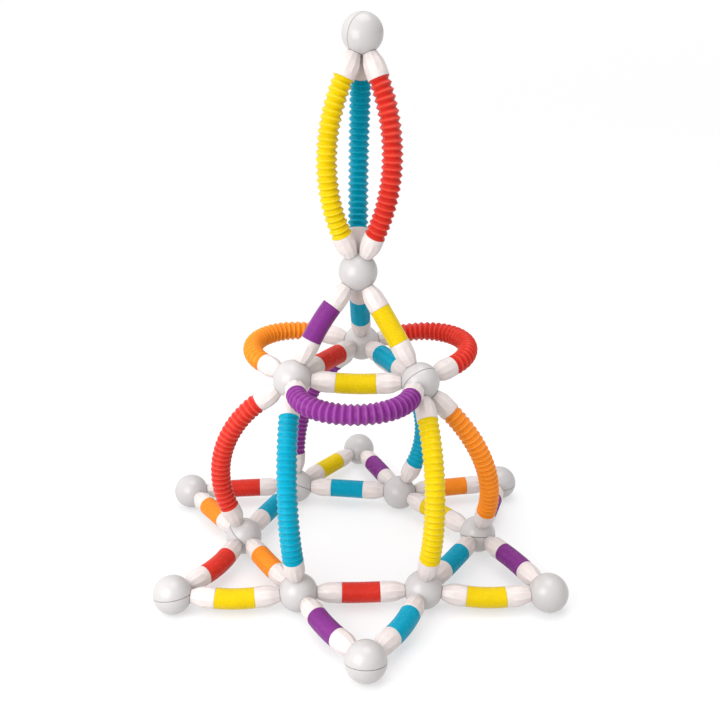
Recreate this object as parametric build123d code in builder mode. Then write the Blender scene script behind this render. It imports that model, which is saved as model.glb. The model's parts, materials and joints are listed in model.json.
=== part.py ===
from build123d import *
from math import cos, degrees, radians, sin, sqrt
import os

# A tower of steel-cored balls joined by corrugated tubes that hold on by magnets.
# Six balls make the base ring, six more make its star tips, three make the crown triangle,
# one is the apex above it and one is the top ball.
# All sizes are in millimetres and degrees. Z is up, and the balls stand on the plane Z = 0.

# Ball: two moulded half shells, welded at the seam, around a hollow steel core
ball_radius = 16.0
shell_wall = 1.6
seam_gap = 0.1
seam_chamfer = 0.3
core_gap = 0.1
core_wall = 1.2
vent_radius = 1.0

# End cap: distances are measured from the centre of the ball that it sits on
seat_gap = 0.3
cap_facets = 10
cap_outline = ((15.0, 5.4), (22.2, 8.1), (26.5, 8.7), (32.5, 8.7))
collar_radius = 8.5
cap_end = 35.5
spigot_radius = 4.5
spigot_length = 5.0

# Magnet: a disc in a pocket behind the cap's seat
magnet_radius = 4.0
magnet_length = 4.0
magnet_start = 17.5
magnet_gap = 0.05

# Corrugated tube: the same moulding whether it is pushed short or pulled long
pitch_count = 24
ridge_radius = 8.55
short_valley_radius = 8.2
long_valley_radius = 6.9
bore_radius = 5.0
bore_overrun = 1.0
tube_gap = 0.05

# Layout of the balls: a short rod holds two balls one rod pitch apart, a little more in the crown
rod_pitch = 102.5
ring_headings = (2.1, 57.7, 131.3, 172.5)
crown_pitch = 104.5
crown_height = 163.4
crown_heading = -3.2
crown_offset = (3.5, 1.0)
apex_rise = 83.7
top_distance = 186.3
top_lean = 0.95

# Short rods: tube colour, bend at each end and turn of the bow about the rod.
# A turn of 0 bows away from the middle of the loop that the rod is in, and 90 bows downwards.
ring_rods = (
    ("red", 1.7, 90),
    ("teal", 1, 0),
    ("yellow", 1, 0),
    ("teal", 1, 0),
    ("teal", 1, 0),
    ("orange", 2, 0),
)
tip_rods = (
    (("purple", 4.7, 16), ("teal", 7.2, 0)),
    (("yellow", 7.0, 41), ("purple", 4.0, 0)),
    (("purple", 1.0, 0), ("orange", 1.0, 0)),
    (("purple", 1.0, 0), ("yellow", 1.0, 0)),
    (("red", 1.0, 0), ("orange", 1.0, 0)),
    (("red", 10.0, 180), ("yellow", 6.2, 32)),
)
crown_rods = (("yellow", 4.2, 90), ("teal", 1, 0), ("red", 1, 0))
apex_rods = (("purple", 6.3, 0), ("yellow", 1, 0), ("teal", 1, 0))

# Legs: long rods from a crown ball down to a ring ball, both counted from 0, then bend and turn
legs = (
    ("leg_tube_left_red", 0, 5, 35, 12),
    ("leg_tube_front_teal", 0, 0, 31, -36),
    ("leg_tube_front_yellow", 1, 1, 32, 29),
    ("leg_tube_right_orange", 1, 2, 29, 16),
    ("leg_tube_back_purple", 2, 4, 26, -31),
    ("leg_tube_back_teal", 2, 3, 36, 70),
)

# Side loops: side, bend and turn. Spindle: tube colour and the direction that its rod bows to.
loops = (("front", 78, -1), ("right", 78, -7.5), ("left", 77.5, -6))
spindle_bend = 25.5
spindle_rods = (("teal", 92), ("yellow", 206), ("red", 328))

# Seam planes of the balls, as turns about X and Y of the upper half shell
ring_seams = ((32, 1), (56, -4), (-19, 1), (76, -15), (-32, 18), (-9, 42))
tip_seams = ((-14, 0), (55, -11), (3, -2), (22, 1), (40, 21), (-13, -7))
crown_seams = ((68, 4), (124, 27), (70, 0), (74, 0))
top_seam = (104, 44)


def level(angle):
    """Unit vector at an angle in the level plane."""
    return Vector(cos(radians(angle)), sin(radians(angle)), 0)


def third_corner(start, end):
    """The point one rod pitch from both ends, on the right of the way from start to end."""
    half = (end - start).length / 2
    right = (end - start).cross(Vector(0, 0, 1)).normalized()
    return (start + end) / 2 + right * sqrt(rod_pitch**2 - half**2)


# Ball centres: four headings set the base ring, and equal rods close it and reach the tips
ring = [Vector(0, 0, ball_radius)]
for heading in ring_headings:
    ring.append(ring[-1] + level(heading) * rod_pitch)
ring.append(third_corner(ring[-1], ring[0]))
tips = [third_corner(ring[number], ring[(number + 1) % 6]) for number in range(6)]

# The origin is under the middle of the box around the base
spread_x = [ball.X for ball in ring + tips]
spread_y = [ball.Y for ball in ring + tips]
middle = Vector((min(spread_x) + max(spread_x)) / 2, (min(spread_y) + max(spread_y)) / 2, 0)
ring = [ball - middle for ball in ring]
tips = [ball - middle for ball in tips]

crown_middle = Vector(*crown_offset, ball_radius + crown_height)
crown_reach = crown_pitch / sqrt(3)
crown = [crown_middle + level(crown_heading + angle) * crown_reach for angle in (-150, -30, 90)]
apex = crown_middle + Vector(0, 0, apex_rise)
spindle_axis = Vector(sin(radians(top_lean)), 0, cos(radians(top_lean)))
top = apex + spindle_axis * top_distance


class Rod:
    """A rod between two balls, bent evenly so that it bows to one side."""

    def __init__(self, start, end, outward, bend, turn=0):
        along = (end - start).normalized()
        across = (outward - along * outward.dot(along)).rotate(Axis((0, 0, 0), along), turn)
        self.frame = Plane(origin=(start + end) / 2, x_dir=across, z_dir=along).location
        self.chord = (end - start).length
        self.bend = bend

    def cap_places(self):
        """Where its two caps stand: at their ball's centre, with Z along the cap."""
        start_cap = self.frame * Location((0, 0, -self.chord / 2), (0, self.bend, 0))
        end_cap = self.frame * Location((0, 0, self.chord / 2), (0, 180 - self.bend, 0))
        return [start_cap, end_cap]

    def tube(self, valley_radius):
        """The corrugated tube, a bent run of ridges and valleys with a smooth bore."""
        span = self.chord - 2 * cap_end * cos(radians(self.bend))
        bend_radius = span / (2 * sin(radians(self.bend)))
        pivot_x = cap_end * sin(radians(self.bend)) - bend_radius * cos(radians(self.bend))
        pivot = self.frame * Location((pivot_x, 0, 0))
        half_turn = self.bend - degrees(tube_gap / bend_radius)
        with BuildPart() as piece:
            for step in range(2 * pitch_count + 1):
                swing = Location((0, 0, 0), (0, half_turn * (1 - step / pitch_count), 0))
                with BuildSketch(Plane(pivot * swing * Location((bend_radius, 0, 0)))):
                    Circle(valley_radius if step % 2 else ridge_radius)
            loft(ruled=True)
            bore_turn = half_turn + degrees(bore_overrun / bend_radius)
            start = pivot * Location((0, 0, 0), (0, bore_turn, 0))
            with BuildSketch(Plane(start * Location((bend_radius, 0, 0)))):
                Circle(bore_radius)
            axis = Axis(pivot.position, Plane(pivot).y_dir * -1)
            revolve(axis=axis, revolution_arc=2 * bore_turn, mode=Mode.SUBTRACT)
        return piece.part


def loop_rods(balls, middle_point, settings):
    """Rods round a closed loop of balls, bowing away from its middle."""
    rods = []
    for number, (_, bend, turn) in enumerate(settings):
        start = balls[number]
        end = balls[(number + 1) % len(balls)]
        rods.append(Rod(start, end, (start + end) / 2 - middle_point, bend, turn))
    return rods


# One half shell of a ball, above the seam
with BuildPart() as half_shell:
    with BuildSketch(Plane.XZ):
        Circle(ball_radius)
        Circle(ball_radius - shell_wall, mode=Mode.SUBTRACT)
        with Locations((0, seam_gap / 2)):
            Rectangle(ball_radius, ball_radius, align=(Align.MIN, Align.MIN), mode=Mode.INTERSECT)
    revolve(axis=Axis.Z)
    rim = half_shell.edges().group_by(Axis.Z)[0].sort_by(SortBy.RADIUS)[-1]
    chamfer(rim, seam_chamfer)

# The hollow steel core, with the vent hole left from its forming
with BuildPart() as steel_core:
    Sphere(ball_radius - shell_wall - core_gap)
    Sphere(ball_radius - shell_wall - core_gap - core_wall, mode=Mode.SUBTRACT)
    with BuildSketch(Plane.XY):
        Circle(vent_radius)
    extrude(amount=ball_radius, mode=Mode.SUBTRACT)

# The end cap: a facetted body that narrows to its concave seat, a plain collar and a hollow spigot
with BuildPart() as end_cap:
    for distance, radius in cap_outline:
        with BuildSketch(Plane.XY.offset(distance)):
            RegularPolygon(radius, cap_facets)
    loft(ruled=True)
    collar_start = cap_outline[-1][0]
    with BuildSketch(Plane.XY.offset(collar_start)):
        Circle(collar_radius)
    extrude(amount=cap_end - collar_start)
    with BuildSketch(Plane.XY.offset(cap_end)):
        Circle(spigot_radius)
    extrude(amount=spigot_length)
    with BuildSketch(Plane.XY.offset(magnet_start)):
        Circle(magnet_radius + magnet_gap)
    extrude(amount=cap_end + spigot_length - magnet_start, mode=Mode.SUBTRACT)
    Sphere(ball_radius + seat_gap, mode=Mode.SUBTRACT)

with BuildPart() as magnet:
    with BuildSketch(Plane.XY.offset(magnet_start + magnet_gap)):
        Circle(magnet_radius)
    extrude(amount=magnet_length)


def save(name, *pieces):
    """Write one named sub-part. Each piece is a part and the places where it stands."""
    with BuildPart() as group:
        for piece, places in pieces:
            with Locations(*places):
                add(piece)
    group.part.label = name
    export_step(group.part, f"parts/{name}.step")


def save_tubes(name, rods, valley_radius):
    """Write the tubes of some rods as one sub-part."""
    in_place = [Location((0, 0, 0))]
    save(name, *((rod.tube(valley_radius), in_place) for rod in rods))


def save_short_tubes(group, settings, rods):
    """Write the short tubes of one group of rods, one sub-part for each colour."""
    for colour in sorted({colour for colour, _, _ in settings}):
        chosen = [rod for rod, (own_colour, _, _) in zip(rods, settings) if own_colour == colour]
        save_tubes(f"{group}_tubes_{colour}", chosen, short_valley_radius)


def caps_of(rods):
    """Both cap places of every rod in a list."""
    return [place for rod in rods for place in rod.cap_places()]


def shells_of(balls, seams):
    """Where the half shells of some balls stand, with each seam plane turned by (x, y) angles."""
    places = []
    for ball, (turn_x, turn_y) in zip(balls, seams):
        upper = Location(tuple(ball), (turn_x, turn_y, 0))
        places += [upper, upper * Location((0, 0, 0), (180, 0, 0))]
    return places


def cores_of(balls):
    return [Location(tuple(ball)) for ball in balls]


def middle_of(balls):
    return sum(balls, Vector(0, 0, 0)) / len(balls)


os.makedirs("parts", exist_ok=True)

# Base: the ring that the tower stands on, with its six legs
base_rods = loop_rods(ring, middle_of(ring), ring_rods)
leg_rods = []
for _, high, low, bend, turn in legs:
    half_way = (crown[high] + ring[low]) / 2
    outward = half_way - Vector(crown_middle.X, crown_middle.Y, half_way.Z)
    leg_rods.append(Rod(crown[high], ring[low], outward, bend, turn))
leg_tops = [rod.cap_places()[0] for rod in leg_rods]
leg_feet = [rod.cap_places()[1] for rod in leg_rods]
base_caps = caps_of(base_rods) + leg_feet
save("base_ball_shells", (half_shell.part, shells_of(ring, ring_seams)))
save("base_ball_cores", (steel_core.part, cores_of(ring)))
save("base_end_caps", (end_cap.part, base_caps))
save("base_magnets", (magnet.part, base_caps))
save_short_tubes("base", ring_rods, base_rods)
for (name, _, _, _, _), rod in zip(legs, leg_rods):
    save_tubes(name, [rod], long_valley_radius)

# Star tips: a ball and two short rods each
for number, tip in enumerate(tips):
    name = f"tip_{number + 1}"
    corners = [ring[number], tip, ring[(number + 1) % 6]]
    rods = loop_rods(corners, middle_of(corners), tip_rods[number])
    shells = shells_of([tip], [tip_seams[number]])
    save(f"{name}_ball", (half_shell.part, shells), (steel_core.part, cores_of([tip])))
    save(f"{name}_end_caps", (end_cap.part, caps_of(rods)), (magnet.part, caps_of(rods)))
    save_short_tubes(name, tip_rods[number], rods)

# Crown: the triangle on the legs and the three rods up to the apex ball
crown_balls = crown + [apex]
triangle_rods = loop_rods(crown, crown_middle, crown_rods)
sloping_rods = []
for ball, (_, bend, turn) in zip(crown, apex_rods):
    outward = (ball + apex) / 2 - middle_of(crown_balls)
    sloping_rods.append(Rod(ball, apex, outward, bend, turn))
crown_caps = caps_of(triangle_rods + sloping_rods) + leg_tops
save("crown_ball_shells", (half_shell.part, shells_of(crown_balls, crown_seams)))
save("crown_ball_cores", (steel_core.part, cores_of(crown_balls)))
save("crown_end_caps", (end_cap.part, crown_caps))
save("crown_magnets", (magnet.part, crown_caps))
save_short_tubes("crown", crown_rods + apex_rods, triangle_rods + sloping_rods)

# Side loops: a long rod bent almost into a half circle outside each side of the crown
for number, (side, bend, turn) in enumerate(loops):
    start = crown[number]
    end = crown[(number + 1) % 3]
    loop = Rod(start, end, (start + end) / 2 - crown_middle, bend, turn)
    places = loop.cap_places()
    save_tubes(f"loop_{side}_tube", [loop], long_valley_radius)
    save(f"loop_{side}_end_caps", (end_cap.part, places), (magnet.part, places))

# Spindle: three long rods from the apex ball to the top ball
spindle = [Rod(apex, top, level(azimuth), spindle_bend) for _, azimuth in spindle_rods]
for (colour, _), rod in zip(spindle_rods, spindle):
    save_tubes(f"spindle_tube_{colour}", [rod], long_valley_radius)
lower_places = [rod.cap_places()[0] for rod in spindle]
upper_places = [rod.cap_places()[1] for rod in spindle]
save("spindle_lower_caps", (end_cap.part, lower_places), (magnet.part, lower_places))
save("spindle_upper_caps", (end_cap.part, upper_places), (magnet.part, upper_places))
save("top_ball_shells", (half_shell.part, shells_of([top], [top_seam])))
save("top_ball_core", (steel_core.part, cores_of([top])))
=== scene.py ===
import bpy
import json
import numpy as np
from math import acos, asin, cos, pi, radians, sin, sqrt
from mathutils import Matrix, Quaternion, Vector


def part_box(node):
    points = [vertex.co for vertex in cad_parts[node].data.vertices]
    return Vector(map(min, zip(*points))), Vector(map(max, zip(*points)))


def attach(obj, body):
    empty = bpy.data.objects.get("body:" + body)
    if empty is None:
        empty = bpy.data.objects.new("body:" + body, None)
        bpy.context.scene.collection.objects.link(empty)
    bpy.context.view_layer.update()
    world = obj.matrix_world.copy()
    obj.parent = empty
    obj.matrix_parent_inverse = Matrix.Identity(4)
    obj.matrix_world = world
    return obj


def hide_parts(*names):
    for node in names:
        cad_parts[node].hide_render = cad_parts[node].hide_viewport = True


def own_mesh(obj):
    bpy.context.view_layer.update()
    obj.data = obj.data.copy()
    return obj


# A tower of steel-cored balls joined by corrugated tubes that hold on by magnets.
# All sizes are in metres, Z is up. The angles in the tables below are in degrees, and inside the
# functions they are in radians.

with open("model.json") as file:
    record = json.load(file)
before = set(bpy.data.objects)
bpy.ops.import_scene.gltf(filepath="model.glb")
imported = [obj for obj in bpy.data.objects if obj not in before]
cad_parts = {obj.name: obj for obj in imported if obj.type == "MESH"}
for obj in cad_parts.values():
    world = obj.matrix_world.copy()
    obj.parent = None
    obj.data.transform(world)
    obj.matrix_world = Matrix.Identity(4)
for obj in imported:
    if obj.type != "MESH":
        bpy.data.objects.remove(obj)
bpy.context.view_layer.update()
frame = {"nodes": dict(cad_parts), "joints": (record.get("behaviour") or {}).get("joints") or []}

# Ball: two moulded half shells round a hollow steel core
ball_radius = 0.016
shell_wall = 0.0016
seam_half_gap = 0.00005
seam_step = 0.00006
# Lip at the seam: depth below the ball's surface, height above the seam plane, relief. The low relief
# down in the seam groove paints it darker as painted shade.
seam_lip = (
    (0.00046, 0.00005, 0),
    (0.00025, 0.00010, 0.1),
    (0.00009, 0.00024, 0.5),
    (0.00002, 0.00045, 0.9),
)
seam_lip_end = 0.0008
pole_angle = 89
core_radius = 0.0143
core_wall = 0.0012
vent_radius = 0.001
ball_segments = 64
ball_rings = 22

# End cap: distances are measured from the centre of the ball that it sits on
seat_radius = 0.0163
seat_shares = (0.02, 0.35, 0.65, 0.85, 0.95)
mouth_distance = 0.0154
# Body without its facets: distance, radius
body_outline = (
    (0.0150, 0.00535),
    (0.0154, 0.00553),
    (0.0158, 0.00571),
    (0.0219, 0.00806),
    (0.0221, 0.00812),
    (0.0252, 0.00868),
    (0.0256, 0.00871),
    (0.0290, 0.00884),
    (0.0327, 0.00884),
)
collar_radius = 0.0086
collar_start = 0.0322
collar_flat_start = 0.0330
# The flats run out in arches over this length, just before the collar
arch_length = 0.0036
arch_start = collar_start - arch_length
# Rings along the body: first distance, last distance, count
body_stations = (
    (mouth_distance, 0.0166, 4),
    (0.0180, 0.0219, 4),
    (0.0221, 0.0252, 4),
    (0.0256, arch_start, 3),
    (arch_start + 0.0003, collar_start, 10),
)
cap_end = 0.0355
# Rounded edges: their size, then how far inwards and back the middle of the outer one lies
cap_edge = 0.0003
cap_edge_inset = 0.00008
cap_edge_drop = 0.0001
facet_count = 10
facet_depth = 0.049
facet_crispness = 320
facet_half_angle = 18
facet_stations = (-facet_half_angle, -16.5, -10, 0, 10, 16.5)
# How far the flats fill out where they run into the collar, as a share of their depth
facet_rise = 1.4
spigot_radius = 0.0045
spigot_length = 0.005
pocket_radius = 0.00405
pocket_start = 0.0175
pocket_hub_share = 0.05
# Relief of the cap, from 0 in a recess to 1 on an edge; the recesses get a darker brown colour as
# painted shade. The edges between flats add to that of the flats, the more narrowly the higher the
# power.
seat_relief = 0.4
flat_relief = 0.7
edge_relief = 0.2
edge_relief_power = 8
collar_edge_relief = 0.85
hidden_relief = 0.6
spigot_root_relief = 0.3

# Magnet: a disc in the pocket behind the seat
magnet_radius = 0.004
magnet_start = 0.01755
magnet_length = 0.004
magnet_edge = 0.0003
magnet_hub_share = 0.25
magnet_segments = 32

# Corrugated tube: pushed short it shows fine grooves, pulled long it shows open folds. Relief is 0 in a
# valley and 1 on a ridge, and picks the tubes' painted tones: a painted highlight on the ridges and
# painted light in the shaded valleys.
pitch_count = 24
ridge_radius = 0.00855
leg_valley_radius = 0.0074
loop_valley_radius = 0.0069
spindle_valley_radius = 0.0066
groove_depth = 0.0002
# One pitch of a short tube: share of the pitch, share of the groove's depth
groove_stations = ((0.0, 0.0), (0.24, 0.1), (0.38, 0.72), (0.5, 1.0), (0.62, 0.72), (0.76, 0.1))
# Relief of a short tube: on its lands, and how much lower at the bottom of a groove, which moves the
# grooves towards the valleys' painted tone
land_relief = 0.6
groove_relief_fall = 0.25
plateau_crown = 0.00003
bore_radius = 0.005
bore_rings = 24
bore_relief = 0.3
# Relief of the three rings that round off each end of a tube, from the inside out
rim_relief = (0.3, 0.4, 0.7)
tube_gap = 0.00005
tube_segments = 48
long_rings_per_pitch = 12
fold_roundness = 0.99
edge_round = 0.00025
parting_height = 0.00009
parting_half_angle = 2.5
# Where between valley and ridge the flanks have their colour, and how much of the highlights
# stays white
flank_relief = 0.55
untinted_share = 0.25

# Edges that turn by more than this are not smoothed over
sharp_angle = 38

# Short rods: tube colour, bend at each end and turn of the bow about the rod
ring_rods = (
    ("red", 1.7, 90),
    ("teal", 1, 0),
    ("yellow", 1, 0),
    ("teal", 1, 0),
    ("teal", 1, 0),
    ("orange", 2, 0),
)
tip_rods = (
    (("purple", 4.7, 16), ("teal", 7.2, 0)),
    (("yellow", 7.0, 41), ("purple", 4.0, 0)),
    (("purple", 1.0, 0), ("orange", 1.0, 0)),
    (("purple", 1.0, 0), ("yellow", 1.0, 0)),
    (("red", 1.0, 0), ("orange", 1.0, 0)),
    (("red", 10.0, 180), ("yellow", 6.2, 32)),
)
crown_rods = (("yellow", 4.2, 90), ("teal", 1, 0), ("red", 1, 0))
apex_rods = (("purple", 6.3, 0), ("yellow", 1, 0), ("teal", 1, 0))

# Long rods: CAD node, colour, crown ball, ring ball, bend and turn
legs = (
    ("leg_tube_left_red", "red", 0, 5, 35, 12),
    ("leg_tube_front_teal", "teal", 0, 0, 31, -36),
    ("leg_tube_front_yellow", "yellow", 1, 1, 32, 29),
    ("leg_tube_right_orange", "orange", 1, 2, 29, 16),
    ("leg_tube_back_purple", "purple", 2, 4, 26, -31),
    ("leg_tube_back_teal", "teal", 2, 3, 36, 70),
)

# Side loops: side, colour, bend and turn
loops = (
    ("front", "purple", 78, -1),
    ("right", "red", 78, -7.5),
    ("left", "orange", 77.5, -6),
)

# Spindle: the bend of its rods, then colour and the direction that each rod bows to
spindle_bend = 25.5
spindle_rods = (("teal", 92), ("yellow", 206), ("red", 328))

# Seam planes of the balls, as turns about X and Y of the upper half shell
ring_seams = ((32, 1), (56, -4), (-19, 1), (76, -15), (-32, 18), (-9, 42))
tip_seams = ((-14, 0), (55, -11), (3, -2), (22, 1), (40, 21), (-13, -7))
crown_seams = ((68, 4), (124, 27), (70, 0), (74, 0))
top_seam = (104, 44)

# Shade of the copies in one piece: the step from copy to copy and where it starts
golden_share = 0.618034
first_share = 0.35


# ---- Meshes -------------------------------------------------------------------------------

def skin(rings, relief, closed):
    """Faces over a run of rings of points. A closed run meets its own start, an open one ends
    in a single point at both ends. relief is one number for each ring or for each point."""
    count, around = rings.shape[:2]
    relief = np.broadcast_to(np.reshape(relief, (count, -1)), (count, around))
    points = rings.reshape(-1, 3)
    marks = relief.reshape(-1)
    here = np.arange(around)
    beyond = np.roll(here, -1)
    quads = []
    for low in range(count if closed else count - 1):
        high = (low + 1) % count
        row = (low * around + here, low * around + beyond, high * around + beyond, high * around + here)
        quads.append(np.stack(row, axis=1))
    quads = np.concatenate(quads)
    triangles = np.zeros((0, 3), int)
    if not closed:
        first = len(points)
        last = first + 1
        poles = (rings[0].mean(axis=0), rings[-1].mean(axis=0))
        points = np.concatenate((points, poles))
        marks = np.concatenate((marks, (relief[0, 0], relief[-1, 0])))
        start_fan = np.stack((np.full(around, first), beyond, here), axis=1)
        end_row = (count - 1) * around
        end_fan = np.stack((np.full(around, last), end_row + here, end_row + beyond), axis=1)
        triangles = np.concatenate((start_fan, end_fan))
    return points, quads, triangles, marks


def turned(profile, relief, segments):
    """A closed solid of revolution about Z. The profile's points are (radius, height), and it
    starts and ends beside the axis."""
    angles = np.linspace(0, 2 * pi, segments, endpoint=False)
    radius = np.array([r for r, _ in profile])[:, None]
    height = np.array([z for _, z in profile])[:, None]
    rings = np.stack(
        (radius * np.cos(angles), radius * np.sin(angles), height + 0 * angles), axis=2
    )
    return skin(rings, relief, closed=False)


def placed(part, place):
    """A copy of a part where a matrix puts it."""
    points, quads, triangles, marks = part
    matrix = np.array(place)
    return points @ matrix[:3, :3].T + matrix[:3, 3], quads, triangles, marks


def spread(number):
    """A repeatable number from -1 to 1 that differs from copy to copy."""
    return 2 * ((number * golden_share + first_share) % 1) - 1


def make_object(name, parts, material):
    """One object out of many separate parts, with relief and shade to colour it by."""
    points, corners, starts, relief, shade = [], [], [], [], []
    base = 0
    filled = 0
    for number, (spots, quads, triangles, marks) in enumerate(parts):
        points.append(spots)
        relief.append(marks)
        shade.append(np.full(len(spots), spread(number)))
        for faces in (quads, triangles):
            corners.append((faces + base).reshape(-1))
            starts.append(filled + np.arange(len(faces)) * faces.shape[1])
            filled += faces.size
        base += len(spots)
    mesh = bpy.data.meshes.new(name)
    mesh.vertices.add(base)
    mesh.vertices.foreach_set("co", np.concatenate(points).astype(np.float32).reshape(-1))
    mesh.loops.add(filled)
    mesh.loops.foreach_set("vertex_index", np.concatenate(corners).astype(np.int32))
    starts = np.concatenate(starts).astype(np.int32)
    mesh.polygons.add(len(starts))
    mesh.polygons.foreach_set("loop_start", starts)
    mesh.polygons.foreach_set("use_smooth", np.ones(len(starts), bool))
    mesh.update(calc_edges=True)
    mesh.validate()
    mesh.set_sharp_from_angle(angle=radians(sharp_angle))
    for label, values in (("relief", relief), ("shade", shade)):
        attribute = mesh.attributes.new(label, "FLOAT", "POINT")
        attribute.data.foreach_set("value", np.concatenate(values).astype(np.float32))
    mesh.materials.append(material)
    item = bpy.data.objects.new(name, mesh)
    bpy.context.scene.collection.objects.link(item)
    return item


# ---- Shapes of the parts ------------------------------------------------------------------

def half_shell(radius):
    """Half of a ball's shell, above the seam, with a rounded lip that makes the seam groove."""
    inner = radius - shell_wall
    sweep = np.linspace(radians(pole_angle), asin(seam_half_gap / inner), ball_rings // 2)
    profile = [(inner * cos(turn), inner * sin(turn)) for turn in sweep]
    relief = [1.0] * len(profile)
    for depth, height, mark in seam_lip:
        profile.append((radius - depth, height))
        relief.append(mark)
    for turn in np.linspace(asin(seam_lip_end / radius), radians(pole_angle), ball_rings):
        profile.append((radius * cos(turn), radius * sin(turn)))
        relief.append(1.0)
    return turned(profile, relief, ball_segments)


def steel_core():
    """The hollow core, open at its vent."""
    profile = []
    for turn in np.linspace(-radians(pole_angle), acos(vent_radius / core_radius), ball_rings):
        profile.append((core_radius * cos(turn), core_radius * sin(turn)))
    inner = core_radius - core_wall
    for turn in np.linspace(acos(vent_radius / inner), -radians(pole_angle), ball_rings):
        profile.append((inner * cos(turn), inner * sin(turn)))
    return turned(profile, [1.0] * len(profile), ball_segments)


def magnet_disc():
    """A disc magnet with broken edges."""
    end = magnet_start + magnet_length
    profile = (
        (magnet_radius * magnet_hub_share, magnet_start),
        (magnet_radius - magnet_edge, magnet_start),
        (magnet_radius, magnet_start + magnet_edge),
        (magnet_radius, end - magnet_edge),
        (magnet_radius - magnet_edge, end),
        (magnet_radius * magnet_hub_share, end),
    )
    return turned(profile, [1.0] * len(profile), magnet_segments)


def settled(distance):
    """How far the flats have run out into the collar, from 0 to 1."""
    return np.clip((distance - arch_start) / arch_length, 0, 1)


def cap_radius(distance, offset):
    """Radius of the cap's body. offset is the angle from the middle of the nearest facet."""
    distances, radii = zip(*body_outline)
    settle = settled(distance)
    envelope = np.interp(distance, distances, radii)
    envelope = envelope + (collar_radius - envelope) * settle
    flat = (1 - facet_depth + facet_rise * facet_depth * settle**2) / np.cos(offset)
    return envelope * (1 + flat**-facet_crispness) ** (-1 / facet_crispness)


def end_cap():
    """The facetted cap: concave seat, tapering body with soft flats, plain collar, spigot and the
    magnet's pocket."""
    offsets = np.radians(np.tile(facet_stations, facet_count))
    angles = offsets + np.repeat(np.arange(facet_count) * 2 * pi / facet_count, len(facet_stations))
    directions = np.stack((np.cos(angles), np.sin(angles)), axis=1)
    rings, relief = [], []

    def add_ring(radius, distance, mark):
        radius = np.broadcast_to(radius, angles.shape)
        rings.append(np.column_stack((directions * radius[:, None], np.full(len(angles), distance))))
        relief.append(np.broadcast_to(mark, angles.shape))

    mouth = cap_radius(mouth_distance, offsets)
    for share in seat_shares:
        radius = mouth * share
        add_ring(radius, sqrt(seat_radius**2 - float(radius.mean()) ** 2), seat_relief)
    edge_nearness = (np.abs(offsets) / radians(facet_half_angle)) ** edge_relief_power
    for first, last, count in body_stations:
        for distance in np.linspace(first, last, count):
            mark = flat_relief + edge_relief * edge_nearness * (1 - settled(distance))
            add_ring(cap_radius(distance, offsets), distance, mark)
    spigot_end = cap_end + spigot_length
    for radius, distance, mark in (
        (collar_radius, collar_flat_start, flat_relief),
        (collar_radius, cap_end - cap_edge, flat_relief),
        (collar_radius - cap_edge_inset, cap_end - cap_edge_drop, collar_edge_relief),
        (collar_radius - cap_edge, cap_end, hidden_relief),
        (spigot_radius, cap_end, spigot_root_relief),
        (spigot_radius, spigot_end - cap_edge, hidden_relief),
        (spigot_radius - cap_edge, spigot_end, hidden_relief),
        (pocket_radius, spigot_end, hidden_relief),
        (pocket_radius, pocket_start, seat_relief),
        (pocket_radius * pocket_hub_share, pocket_start, seat_relief),
    ):
        add_ring(radius, distance, mark)
    return skin(np.stack(rings), np.stack(relief), closed=False)


def fold_profile(valley_radius):
    """Long tube: rounded folds from ridge to valley. Shares of the length, radii, relief."""
    shares = np.linspace(0, 1, pitch_count * long_rings_per_pitch + 1)
    wave = np.cos(shares * pitch_count * 2 * pi)
    wave = 0.5 + 0.5 * np.arcsin(fold_roundness * wave) / asin(fold_roundness)
    return shares, valley_radius + (ridge_radius - valley_radius) * wave, wave


def groove_profile():
    """Short tube: flat lands with narrow grooves between. Shares of the length, radii, relief."""
    shares, depths = [], []
    for pitch in range(pitch_count):
        for share, depth in groove_stations:
            shares.append((pitch + share) / pitch_count)
            depths.append(depth)
    shares = np.array(shares + [1.0])
    depths = np.array(depths + [0.0])
    radii = ridge_radius + plateau_crown * (depths == 0) - groove_depth * depths
    return shares, radii, land_relief - groove_relief_fall * depths


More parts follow.
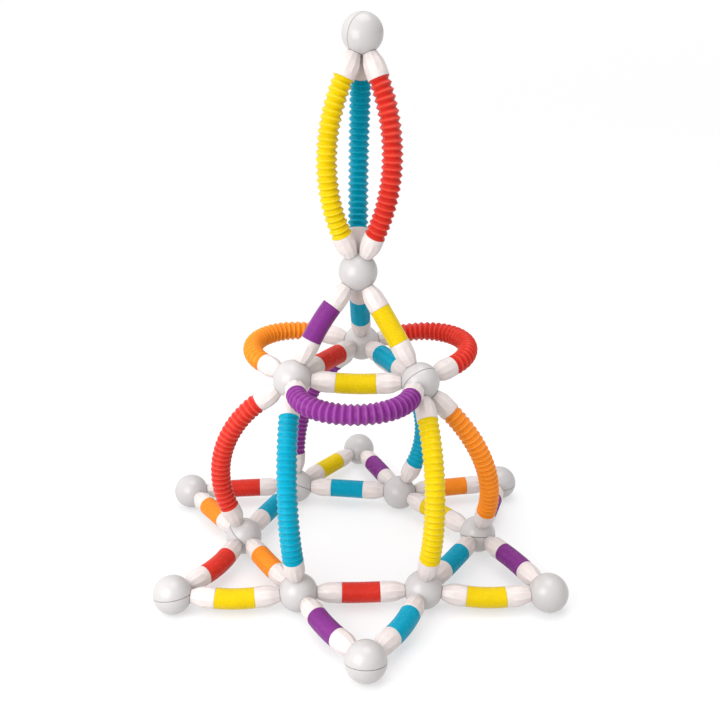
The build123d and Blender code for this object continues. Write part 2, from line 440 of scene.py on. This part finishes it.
class Rod:
    """A rod between two balls, bent evenly so that it bows to one side. bend is the angle that it
    leans out by at each ball, turn swings the bow round the line between the balls."""

    def __init__(self, start, end, outward, bend, turn=0):
        along = (end - start).normalized()
        across = (outward - along * outward.dot(along)).normalized()
        across.rotate(Quaternion(along, radians(turn)))
        turned_frame = Matrix((across, along.cross(across), along)).transposed()
        self.frame = Matrix.Translation((start + end) / 2) @ turned_frame.to_4x4()
        self.chord = (end - start).length
        self.bend = radians(bend)
        self.bend_radius = (self.chord - 2 * cap_end * cos(self.bend)) / (2 * sin(self.bend))
        self.pivot_x = cap_end * sin(self.bend) - self.bend_radius * cos(self.bend)

    def cap_places(self):
        """Where its two caps stand: at their ball's centre, with Z along the cap."""
        places = []
        for side, angle in ((-1, self.bend), (1, pi - self.bend)):
            ball = Matrix.Translation((0, 0, side * self.chord / 2))
            places.append(self.frame @ ball @ Matrix.Rotation(angle, 4, "Y"))
        return places

    def point(self, turn):
        """A point on the rod's arc at an angle from its middle."""
        arc = Vector((self.pivot_x + self.bend_radius * cos(turn), 0, self.bend_radius * sin(turn)))
        return self.frame @ arc

    def tube(self, profile):
        """The corrugated tube with its smooth bore, closed at both ends."""
        shares, radii, marks = profile
        reach = self.bend - tube_gap / self.bend_radius
        length = 2 * reach * self.bend_radius
        inset = edge_round / length
        keep = (shares > 2 * inset) & (shares < 1 - 2 * inset)
        shares = np.concatenate(((0, 0, inset), shares[keep], (1 - inset, 1, 1)))
        lip = ridge_radius - edge_round
        rim = (lip - edge_round, lip, ridge_radius)
        radii = np.concatenate((rim, radii[keep], rim[::-1]))
        marks = np.concatenate((rim_relief, marks[keep], rim_relief[::-1]))
        shares = np.concatenate((shares, np.linspace(1, 0, bore_rings)))
        radii = np.concatenate((radii, np.full(bore_rings, bore_radius)))
        marks = np.concatenate((marks, np.full(bore_rings, bore_relief)))

        angles = np.linspace(-pi, pi, tube_segments, endpoint=False)
        beside = radians(parting_half_angle)
        extra = [side * pi / 2 + offset for side in (-1, 1) for offset in (-beside, beside)]
        angles = np.sort(np.concatenate((angles, extra)))
        parting = np.isclose(np.abs(angles), pi / 2, atol=0.001)
        outer = np.arange(len(shares)) < len(shares) - bore_rings
        raised = outer[:, None] & parting[None, :]
        raised = raised & (radii > lip - edge_round / 2)[:, None]
        full = radii[:, None] + parting_height * raised

        turns = (2 * shares - 1) * reach
        swing = np.stack((np.cos(turns), 0 * turns, np.sin(turns)), axis=1)
        side = np.array((0.0, 1.0, 0.0))
        centres = swing * self.bend_radius + np.array((self.pivot_x, 0, 0))
        rings = (
            centres[:, None, :]
            + full[:, :, None] * np.cos(angles)[None, :, None] * swing[:, None, :]
            + full[:, :, None] * np.sin(angles)[None, :, None] * side
        )
        return placed(skin(rings, marks, closed=True), self.frame)


# ---- Materials ----------------------------------------------------------------------------

class Surface:
    """A node material round one Principled shader."""

    def __init__(self, name, **constants):
        self.material = bpy.data.materials.new(name)
        self.material.use_nodes = True
        self.tree = self.material.node_tree
        self.shader = self.tree.nodes["Principled BSDF"]
        for socket, value in constants.items():
            self.shader.inputs[socket.replace("_", " ")].default_value = value
        self.place = self.node("ShaderNodeTexCoord", {}).outputs["Object"]

    def node(self, kind, inputs, **settings):
        """Add a node. Each input is a number, a colour or another node's output."""
        node = self.tree.nodes.new(kind)
        for setting, value in settings.items():
            setattr(node, setting, value)
        for socket, value in inputs.items():
            if isinstance(value, bpy.types.NodeSocket):
                self.tree.links.new(value, node.inputs[socket])
            else:
                node.inputs[socket].default_value = value
        return node

    def attribute(self, name):
        """One of the numbers that the mesh holds for each point."""
        return self.node("ShaderNodeAttribute", {}, attribute_name=name).outputs["Fac"]

    def noise(self, scale, detail):
        """Noise fixed to the piece, finer as the scale grows."""
        inputs = {"Vector": self.place, "Scale": scale, "Detail": detail}
        return self.node("ShaderNodeTexNoise", inputs).outputs["Fac"]

    def added(self, first, second):
        """The sum of two values."""
        return self.node("ShaderNodeMath", {0: first, 1: second}, operation="ADD").outputs[0]

    def ranged(self, value, low, high, source_low=0.3, source_high=0.7):
        """A value carried over from one range to another. Noise mostly stays in the range given
        as the source here."""
        inputs = {"Value": value, "From Min": source_low, "From Max": source_high}
        inputs.update({"To Min": low, "To Max": high})
        return self.node("ShaderNodeMapRange", inputs).outputs["Result"]

    def ramp(self, value, stops):
        """Colours along a value."""
        node = self.node("ShaderNodeValToRGB", {"Fac": value})
        elements = node.color_ramp.elements
        while len(elements) < len(stops):
            elements.new(0.5)
        for element, (position, colour) in zip(elements, stops):
            element.position = position
            element.color = (*colour, 1)
        return node.outputs["Color"]

    def copy_shade(self, reach):
        """How much lighter or darker each copy is."""
        return self.ranged(self.attribute("shade"), -reach, reach, -1, 1)

    def finish(self, colour, brightness, roughness, heights):
        """Join colour, brightness, roughness and the bumps, each (height, depth), to the shader."""
        toned = self.node("ShaderNodeHueSaturation", {"Color": colour, "Value": brightness})
        self.tree.links.new(toned.outputs["Color"], self.shader.inputs["Base Color"])
        self.tree.links.new(roughness, self.shader.inputs["Roughness"])
        normal = None
        for height, depth in heights:
            inputs = {"Height": height, "Distance": depth, "Strength": 1.0}
            if normal is not None:
                inputs["Normal"] = normal
            normal = self.node("ShaderNodeBump", inputs).outputs["Normal"]
        self.tree.links.new(normal, self.shader.inputs["Normal"])
        return self.material


def linear(red, green, blue):
    """A colour given as screen values from 0 to 255, in linear light."""
    values = []
    for part in (red, green, blue):
        share = part / 255
        values.append(share / 12.92 if share <= 0.04045 else ((share + 0.055) / 1.055) ** 2.4)
    return tuple(values)


def tube_plastic(name, valley, flank, ridge):
    """Satin moulded polyethylene, with one colour each for valleys, flanks and ridges: the ridges are
    paler as a painted highlight, and the valleys are no darker than the flanks, as painted light
    against the shade that falls in them. Its highlights are soft and take a part of the ridges' colour."""
    surface = Surface(
        name,
        IOR=1.5,
        Subsurface_Weight=0.3,
        Subsurface_Scale=0.003,
        Subsurface_Radius=(1.0, 0.8, 0.8),
        Specular_IOR_Level=0.25,
        Specular_Tint=(*(untinted_share + (1 - untinted_share) * part for part in ridge), 1),
    )
    relief = surface.attribute("relief")
    cloud = surface.noise(scale=60, detail=3)
    grain = surface.noise(scale=900, detail=2)
    # Along the relief: a painted highlight on the ridges, painted light in the shaded valleys
    colour = surface.ramp(relief, ((0.0, valley), (flank_relief, flank), (1.0, ridge)))
    copy = surface.copy_shade(0.03)
    brightness = surface.added(surface.ranged(cloud, low=0.95, high=1.05), copy)
    brightness = surface.added(brightness, surface.ranged(grain, low=-0.02, high=0.02))
    roughness = surface.ranged(surface.noise(scale=240, detail=3), low=0.2, high=0.3)
    return surface.finish(colour, brightness, roughness, ((grain, 0.00003), (cloud, 0.0004)))


def shell_plastic():
    """Light grey satin styrene with a darker line along the seam, painted shade in its groove."""
    surface = Surface("ball_shell_grey", IOR=1.5)
    relief = surface.attribute("relief")
    # The dark end of this ramp is painted shade down in the seam groove.
    colour = surface.ramp(relief, ((0.0, linear(116, 112, 110)), (1.0, linear(171, 168, 167))))
    cloud = surface.noise(scale=45, detail=3)
    copy = surface.copy_shade(0.02)
    brightness = surface.added(surface.ranged(cloud, low=0.99, high=1.01), copy)
    roughness = surface.ranged(surface.noise(scale=60, detail=2), low=0.24, high=0.27)
    return surface.finish(colour, brightness, roughness, ((cloud, 0.00006),))


def cap_plastic():
    """Ivory plastic that lets light in a little way, paler along its edges, with painted shade in its
    recesses.
    """
    surface = Surface(
        "cap_cream",
        IOR=1.48,
        Subsurface_Weight=0.25,
        Subsurface_Scale=0.0025,
        Subsurface_Radius=(1.0, 0.55, 0.35),
    )
    relief = surface.attribute("relief")
    # The recess colour is painted shade in the seat and at the spigot's root.
    recess_shade, flats, edges = linear(161, 143, 130), linear(194, 185, 182), linear(207, 200, 197)
    colour = surface.ramp(relief, ((0.3, recess_shade), (flat_relief, flats), (1.0, edges)))
    cloud = surface.noise(scale=140, detail=3)
    copy = surface.copy_shade(0.02)
    brightness = surface.added(surface.ranged(cloud, low=0.965, high=1.035), copy)
    grain = surface.noise(scale=700, detail=3)
    roughness = surface.ranged(grain, low=0.36, high=0.5)
    return surface.finish(colour, brightness, roughness, ((grain, 0.00003), (cloud, 0.0003)))


def bare_metal(name, colour, dull, dull_reach=0.07, patch_darkness=0.8):
    """Spun or plated metal with a fine grain and a few darker patches."""
    surface = Surface(name, Metallic=1.0)
    patch = surface.noise(scale=90, detail=4)
    patch_colour = tuple(part * patch_darkness for part in colour)
    tint = surface.ramp(patch, ((0.35, patch_colour), (0.65, colour)))
    grain = surface.noise(scale=1500, detail=3)
    roughness = surface.ranged(patch, low=dull - dull_reach, high=dull + dull_reach)
    brightness = surface.ranged(grain, low=0.95, high=1.05)
    return surface.finish(tint, brightness, roughness, ((grain, 0.00001),))


finishes = {
    "ball_shell_grey": shell_plastic(),
    "cap_cream": cap_plastic(),
    "core_steel": bare_metal("core_steel", (0.50, 0.50, 0.51), 0.38),
    "magnet_nickel": bare_metal("magnet_nickel", (0.66, 0.64, 0.60), 0.22),
}
# Tubes: the colours of valleys, flanks and ridges, with a painted highlight on the ridges and painted
# light in the valleys
tube_colours = {
    "red": (linear(184, 36, 28), linear(180, 42, 31), linear(197, 64, 50)),
    "orange": (linear(217, 120, 24), linear(209, 119, 27), linear(221, 137, 47)),
    "yellow": (linear(207, 179, 2), linear(195, 168, 4), linear(203, 179, 24)),
    "teal": (linear(0, 140, 165), linear(0, 132, 158), linear(2, 146, 172)),
    "purple": (linear(112, 34, 114), linear(107, 40, 112), linear(134, 65, 135)),
}
for colour, tones in tube_colours.items():
    finishes[f"tube_{colour}"] = tube_plastic(f"tube_{colour}", *tones)


# ---- Where the balls are ------------------------------------------------------------------

pivots = {joint["name"]: joint for joint in frame["joints"]}


def pivot(name):
    """Where a joint turns."""
    return Vector(pivots[name]["pos_m"])


def average(spots):
    """The middle of a list of points."""
    return sum(spots, Vector((0, 0, 0))) / len(spots)


ring = [pivot(f"tip_{number + 1}_fold") for number in range(6)]
tips = []
for number in range(6):
    low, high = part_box(f"tip_{number + 1}_ball")
    tips.append((low + high) / 2)
crown = [pivot(f"loop_{side}_swing") for side, _, _, _ in loops]
apex = pivot("spindle_turn")
top = pivot("top_ball_spin")
spindle_axis = Vector(pivots["spindle_turn"]["axis"])
crown_middle = average(crown)


# ---- Making the pieces --------------------------------------------------------------------

upper_half = half_shell(ball_radius)
lower_half = half_shell(ball_radius - seam_step)
cap_part = end_cap()
core_part = steel_core()
magnet_part = magnet_disc()
leg_folds = fold_profile(leg_valley_radius)
loop_folds = fold_profile(loop_valley_radius)
spindle_folds = fold_profile(spindle_valley_radius)
grooved = groove_profile()


def add_piece(name, parts, slot, body, *nodes):
    """A finished piece: its look, the body that it moves with and the CAD nodes it stands for."""
    piece = make_object(name, parts, finishes[slot])
    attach(piece, body)
    if nodes:
        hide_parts(*nodes)
    return piece


def shells_of(balls, seams):
    """Both half shells of every ball in a list."""
    parts = []
    for ball, (seam_x, seam_y) in zip(balls, seams):
        tilt = Matrix.Rotation(radians(seam_x), 4, "X") @ Matrix.Rotation(radians(seam_y), 4, "Y")
        upper = Matrix.Translation(ball) @ tilt
        parts.append(placed(upper_half, upper))
        parts.append(placed(lower_half, upper @ Matrix.Rotation(pi, 4, "X")))
    return parts


def caps_of(rods):
    """Both cap places of every rod in a list."""
    return [place for rod in rods for place in rod.cap_places()]


def copies(part, places):
    """A part at every place in a list."""
    return [placed(part, place) for place in places]


def closed_loop(balls, middle, settings):
    """Rods round a closed loop of balls, bowing away from its middle."""
    rods = []
    for number, (_, bend, turn) in enumerate(settings):
        start = balls[number]
        end = balls[(number + 1) % len(balls)]
        rods.append(Rod(start, end, (start + end) / 2 - middle, bend, turn))
    return rods


def add_short_tubes(body, settings, rods):
    """Short tubes of one body, one piece for each colour."""
    for colour in sorted({colour for colour, _, _ in settings}):
        chosen = [rod.tube(grooved) for rod, (own, _, _) in zip(rods, settings) if own == colour]
        node = f"{body}_tubes_{colour}"
        add_piece(f"{node}_moulded", chosen, f"tube_{colour}", body, node)


def add_caps_and_magnets(body, places):
    """The end caps of one body, and the magnets behind their seats."""
    node = f"{body}_end_caps"
    add_piece(f"{node}_moulded", copies(cap_part, places), "cap_cream", body, node)
    add_piece(f"{body}_magnets", copies(magnet_part, places), "magnet_nickel", body)


# Base: the ring that the tower stands on, and the caps at the feet of the legs
base_rods = closed_loop(ring, average(ring), ring_rods)
leg_rods = []
for _, _, high, low, bend, turn in legs:
    half_way = (crown[high] + ring[low]) / 2
    outward = half_way - Vector((crown_middle.x, crown_middle.y, half_way.z))
    leg_rods.append(Rod(crown[high], ring[low], outward, bend, turn))
leg_tops = [rod.cap_places()[0] for rod in leg_rods]
leg_feet = [rod.cap_places()[1] for rod in leg_rods]
shell_parts = shells_of(ring, ring_seams)
add_piece("base_ball_shells_moulded", shell_parts, "ball_shell_grey", "base", "base_ball_shells")
base_caps = copies(cap_part, caps_of(base_rods) + leg_feet)
add_piece("base_end_caps_moulded", base_caps, "cap_cream", "base", "base_end_caps")
add_short_tubes("base", ring_rods, base_rods)

# Legs: a long folded tube from each crown ball down to a ring ball
for (node, colour, _, _, _, _), rod in zip(legs, leg_rods):
    piece = add_piece(f"{node}_moulded", [rod.tube(leg_folds)], f"tube_{colour}", "base", node)
    foot = rod.point(rod.bend)
    height = rod.point(-rod.bend).z - foot.z
    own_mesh(piece)

# Star tips: a ball and two short rods each
for number, tip in enumerate(tips):
    body = f"tip_{number + 1}"
    corners = [ring[number], tip, ring[(number + 1) % 6]]
    rods = closed_loop(corners, average(corners), tip_rods[number])
    shell_parts = shells_of([tip], [tip_seams[number]])
    add_piece(f"{body}_shells_moulded", shell_parts, "ball_shell_grey", body, f"{body}_ball")
    add_piece(f"{body}_core", copies(core_part, [Matrix.Translation(tip)]), "core_steel", body)
    add_caps_and_magnets(body, caps_of(rods))
    add_short_tubes(body, tip_rods[number], rods)

# Crown: the triangle on the legs and the three rods up to the apex ball
crown_balls = crown + [apex]
triangle_rods = closed_loop(crown, crown_middle, crown_rods)
heart = average(crown_balls)
sloping_rods = []
for ball, (_, bend, turn) in zip(crown, apex_rods):
    sloping_rods.append(Rod(ball, apex, (ball + apex) / 2 - heart, bend, turn))
shell_parts = shells_of(crown_balls, crown_seams)
add_piece("crown_ball_shells_moulded", shell_parts, "ball_shell_grey", "crown", "crown_ball_shells")
crown_caps = copies(cap_part, caps_of(triangle_rods + sloping_rods) + leg_tops)
add_piece("crown_end_caps_moulded", crown_caps, "cap_cream", "crown", "crown_end_caps")
add_short_tubes("crown", crown_rods + apex_rods, triangle_rods + sloping_rods)

# Side loops: a long rod bent almost into a half circle outside each side of the crown
for number, (side, colour, bend, turn) in enumerate(loops):
    start = crown[number]
    end = crown[(number + 1) % 3]
    rod = Rod(start, end, (start + end) / 2 - crown_middle, bend, turn)
    body = f"loop_{side}"
    node = f"{body}_tube"
    add_piece(f"{node}_moulded", [rod.tube(loop_folds)], f"tube_{colour}", body, node)
    add_caps_and_magnets(body, rod.cap_places())

# Spindle: three long rods from the apex ball up to the top ball
spindle = []
for colour, azimuth in spindle_rods:
    out = Vector((cos(radians(azimuth)), sin(radians(azimuth)), 0))
    spindle.append(Rod(apex, top, out, spindle_bend))
for (colour, _), rod in zip(spindle_rods, spindle):
    node = f"spindle_tube_{colour}"
    piece = add_piece(f"{node}_moulded", [rod.tube(spindle_folds)], f"tube_{colour}", "spindle", node)
    start = rod.point(-rod.bend)
    height = (rod.point(rod.bend) - start).dot(spindle_axis)
    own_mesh(piece)
for end, (level, body) in enumerate((("lower", "spindle"), ("upper", "spindle_top"))):
    places = [rod.cap_places()[end] for rod in spindle]
    node = f"spindle_{level}_caps"
    add_piece(f"{node}_moulded", copies(cap_part, places), "cap_cream", body, node)
    add_piece(f"spindle_{level}_magnets", copies(magnet_part, places), "magnet_nickel", body)

# Top ball
shell_parts = shells_of([top], [top_seam])
add_piece("top_ball_shells_moulded", shell_parts, "ball_shell_grey", "top_ball", "top_ball_shells")

# The cores of base, crown and top ball and the magnets of base and crown stay as they are in the
# CAD model, with metal on them
for node, slot in (
    ("base_ball_cores", "core_steel"),
    ("crown_ball_cores", "core_steel"),
    ("top_ball_core", "core_steel"),
    ("base_magnets", "magnet_nickel"),
    ("crown_magnets", "magnet_nickel"),
):
    held = frame["nodes"][node]
    held.data.materials.clear()
    held.data.materials.append(finishes[slot])


# ---- Floor, light and camera --------------------------------------------------------------

# Floor: wide enough to reach past the picture's edges, and faintly lit from within to stay white
floor_half = 40.0
floor_grey = 0.36
floor_glow = 0.5
floor_mesh = bpy.data.meshes.new("floor")
floor_mesh.from_pydata(
    [(x * floor_half, y * floor_half, 0) for x, y in ((-1, -1), (1, -1), (1, 1), (-1, 1))],
    [],
    [(0, 1, 2, 3)],
)
floor_finish = Surface(
    "floor_white",
    Roughness=0.9,
    Base_Color=(floor_grey, floor_grey, floor_grey, 1),
    Emission_Color=(1, 1, 1, 1),
    Emission_Strength=floor_glow,
)
floor_mesh.materials.append(floor_finish.material)
floor = bpy.data.objects.new("floor", floor_mesh)
bpy.context.scene.collection.objects.link(floor)

# Light tent: brightest towards the upper left and front, dimmest on the far side of that
tent_direction = (-0.64, -0.3, 0.7)
tent_dim = 0.1
tent_bright = 1.7
tent_colour = (1.0, 0.99, 1.0, 1)
world = bpy.data.worlds.new("studio")
world.use_nodes = True
tent = world.node_tree
backdrop = tent.nodes["Background"]
backdrop.inputs["Color"].default_value = tent_colour
direction = tent.nodes.new("ShaderNodeTexCoord").outputs["Generated"]
towards = tent.nodes.new("ShaderNodeVectorMath")
towards.operation = "DOT_PRODUCT"
towards.inputs[1].default_value = tent_direction
tent.links.new(direction, towards.inputs[0])
glow = tent.nodes.new("ShaderNodeMapRange")
glow.inputs["From Min"].default_value = -1
glow.inputs["To Min"].default_value = tent_dim
glow.inputs["To Max"].default_value = tent_bright
tent.links.new(towards.outputs["Value"], glow.inputs["Value"])
tent.links.new(glow.outputs["Result"], backdrop.inputs["Strength"])
bpy.context.scene.world = world


def add_softbox(name, place, target, width, height, power):
    """A rectangular soft light that faces a point."""
    data = bpy.data.lights.new(name, "AREA")
    data.shape = "RECTANGLE"
    data.size = width
    data.size_y = height
    data.energy = power
    lamp = bpy.data.objects.new(name, data)
    facing = (Vector(target) - Vector(place)).to_track_quat("-Z", "Y")
    lamp.matrix_world = Matrix.Translation(place) @ facing.to_matrix().to_4x4()
    lamp.visible_camera = False
    bpy.context.scene.collection.objects.link(lamp)


tower_middle = (0, 0, 0.2)
# Name, place, width, height and power in watts
softboxes = (
    ("key_softbox", (-0.36, -0.45, 0.36), 0.45, 0.48, 2.9),
    ("top_softbox", (0.1, 0.05, 1.5), 0.9, 0.9, 6.6),
)
for name, place, width, height, power in softboxes:
    add_softbox(name, place, tower_middle, width, height, power)

# Camera: lens and sensor in millimetres, shifts as shares of the picture's width
camera_place = (0.00149, -0.7736, 0.4874)
camera_down_angle = 20.01
camera_data = bpy.data.cameras.new("camera")
camera_data.lens = 49.24
camera_data.sensor_width = 36
camera_data.shift_x = 0.006
camera_data.shift_y = -0.0307
camera_data.clip_end = 200
camera = bpy.data.objects.new("camera", camera_data)
camera.location = camera_place
camera.rotation_euler = (radians(90 - camera_down_angle), 0, 0)
bpy.context.scene.collection.objects.link(camera)
bpy.context.scene.camera = camera

bpy.context.scene.view_settings.view_transform = "Standard"
